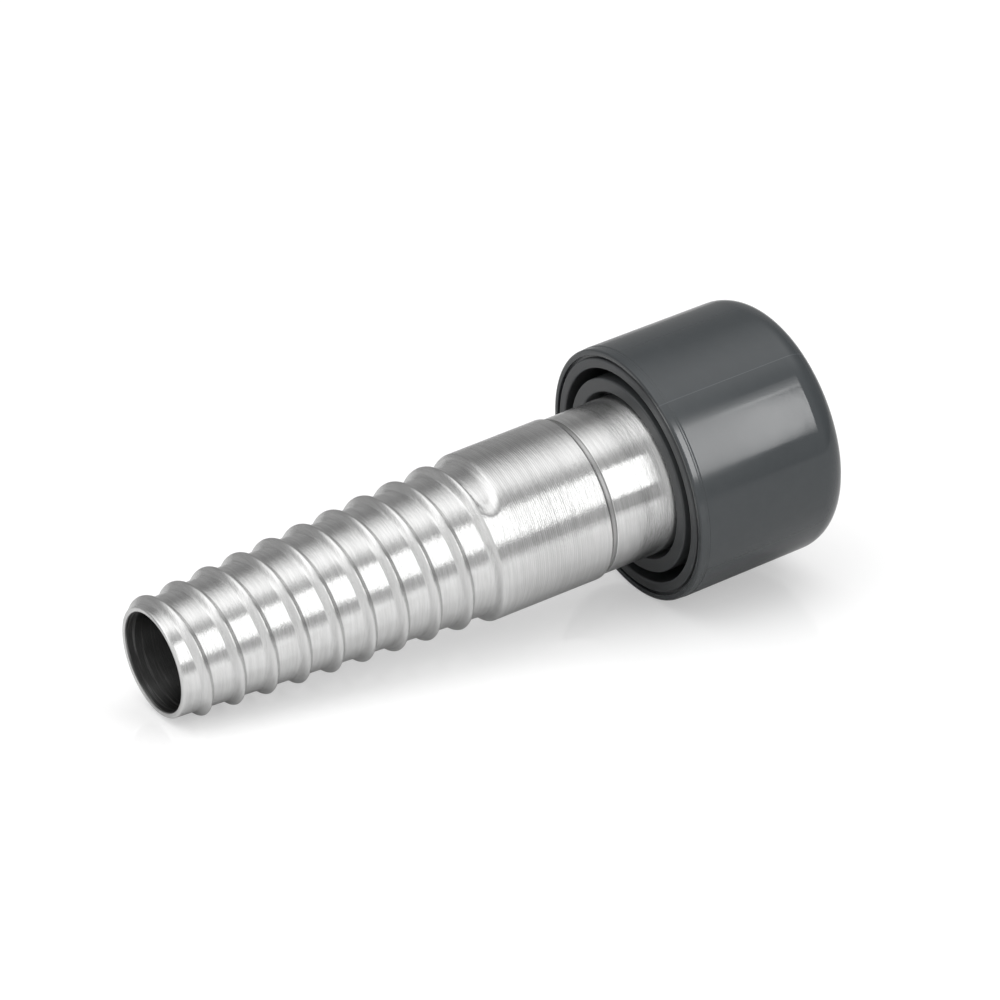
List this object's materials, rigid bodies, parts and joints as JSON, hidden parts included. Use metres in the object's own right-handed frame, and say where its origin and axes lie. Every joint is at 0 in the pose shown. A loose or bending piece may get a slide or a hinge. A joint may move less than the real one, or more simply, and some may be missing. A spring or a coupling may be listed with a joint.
{
  "type": "hose insert",
  "caption": "Tapered steel hose tail with a coarse right-hand helical rib, smooth shank and open bore, screwed into a short grey plastic pipe collar with a through port.",
  "frame": {"origin": "centre of the collar's flat far end, on the part's axis", "axes": "+Z along the axis from the collar's far end to the mouth of the tail; +X through the first crest of the rib"},
  "size_m": [0.0538, 0.0538, 0.1488],
  "materials": {
    "turned_steel": "turned and lightly brushed, with fine lathe lines",
    "seal_tape": "matt white sealing tape",
    "bush_plastic": "moulded, satin",
    "collar_plastic": "moulded, glossy dark grey"
  },
  "bodies": {
    "root": {"hose_tail": "turned_steel", "thread_seal": "seal_tape", "threaded_bush": "bush_plastic", "collar": "collar_plastic"}
  },
  "joints": []
}
